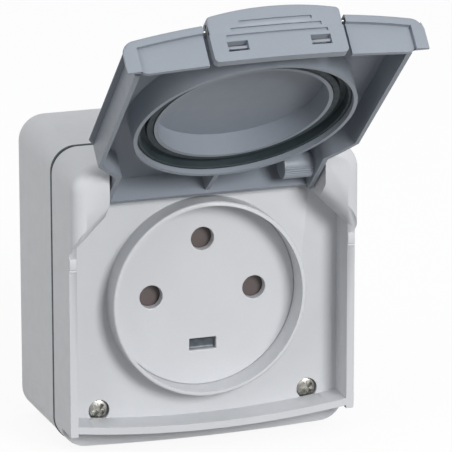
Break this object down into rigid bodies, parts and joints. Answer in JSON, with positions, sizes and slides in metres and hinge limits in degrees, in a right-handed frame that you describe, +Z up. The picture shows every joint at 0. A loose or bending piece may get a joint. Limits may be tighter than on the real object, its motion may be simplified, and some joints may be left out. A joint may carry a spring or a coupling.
{
  "type": "outdoor weatherproof socket",
  "caption": "Surface-mounted weatherproof power socket: grey box, cover with round collar and pin holes, and a hinged blue-grey lid with seal and finger latch.",
  "frame": {"origin": "centre of the flat rear face, on the wall plane", "axes": "+X to the right seen from the front, +Y into the wall, +Z up"},
  "size_m": [0.0916, 0.1149, 0.1517],
  "materials": {
    "housing_grey": "satin moulded plastic",
    "lid_grey": "satin moulded plastic",
    "seal_rubber": "matt rubber",
    "grommet_rubber": "matt rubber",
    "screw_steel": "bright plated steel",
    "carrier_plastic": "matt moulded plastic",
    "contact_brass": "plain brass",
    "earth_metal": "dull plated metal",
    "shutter_plastic": "matt brown-grey plastic"
  },
  "bodies": {
    "housing": {"back_box": "housing_grey", "cable_grommet": "grommet_rubber", "box_seal": "seal_rubber", "front_cover": "housing_grey", "cover_screws": "screw_steel", "socket_face": "housing_grey", "contact_carrier": "carrier_plastic", "carrier_screws": "screw_steel", "phase_contact_left": "contact_brass", "phase_contact_top": "contact_brass", "phase_contact_right": "contact_brass", "earth_contact": "earth_metal", "terminal_screws": "screw_steel", "shutter_spring": "screw_steel", "hinge_pin_left": "screw_steel", "hinge_pin_right": "screw_steel"},
    "lid": {"lid": "lid_grey", "lid_seal": "seal_rubber", "latch_pin": "screw_steel"},
    "latch": {"latch": "lid_grey"},
    "shutter": {"shutter_disc": "shutter_plastic"}
  },
  "joints": [
    {"name": "lid_hinge", "type": "hinge", "parent": "housing", "child": "lid", "pos_m": [0, -0.0488, 0.0387], "axis": [-1, 0, 0], "range_deg": [-132.7, 17.3]},
    {"name": "latch_pivot", "type": "hinge", "parent": "lid", "child": "latch", "pos_m": [0, -0.10468, 0.09815], "axis": [-1, 0, 0], "range_deg": [0, 8], "stiffness_Nm_per_rad": 0.15},
    {"name": "shutter_turn", "type": "hinge", "parent": "housing", "child": "shutter", "pos_m": [0, -0.0363, -0.0014], "axis": [0, -1, 0], "range_deg": [0, 28], "stiffness_Nm_per_rad": 0.03}
  ]
}
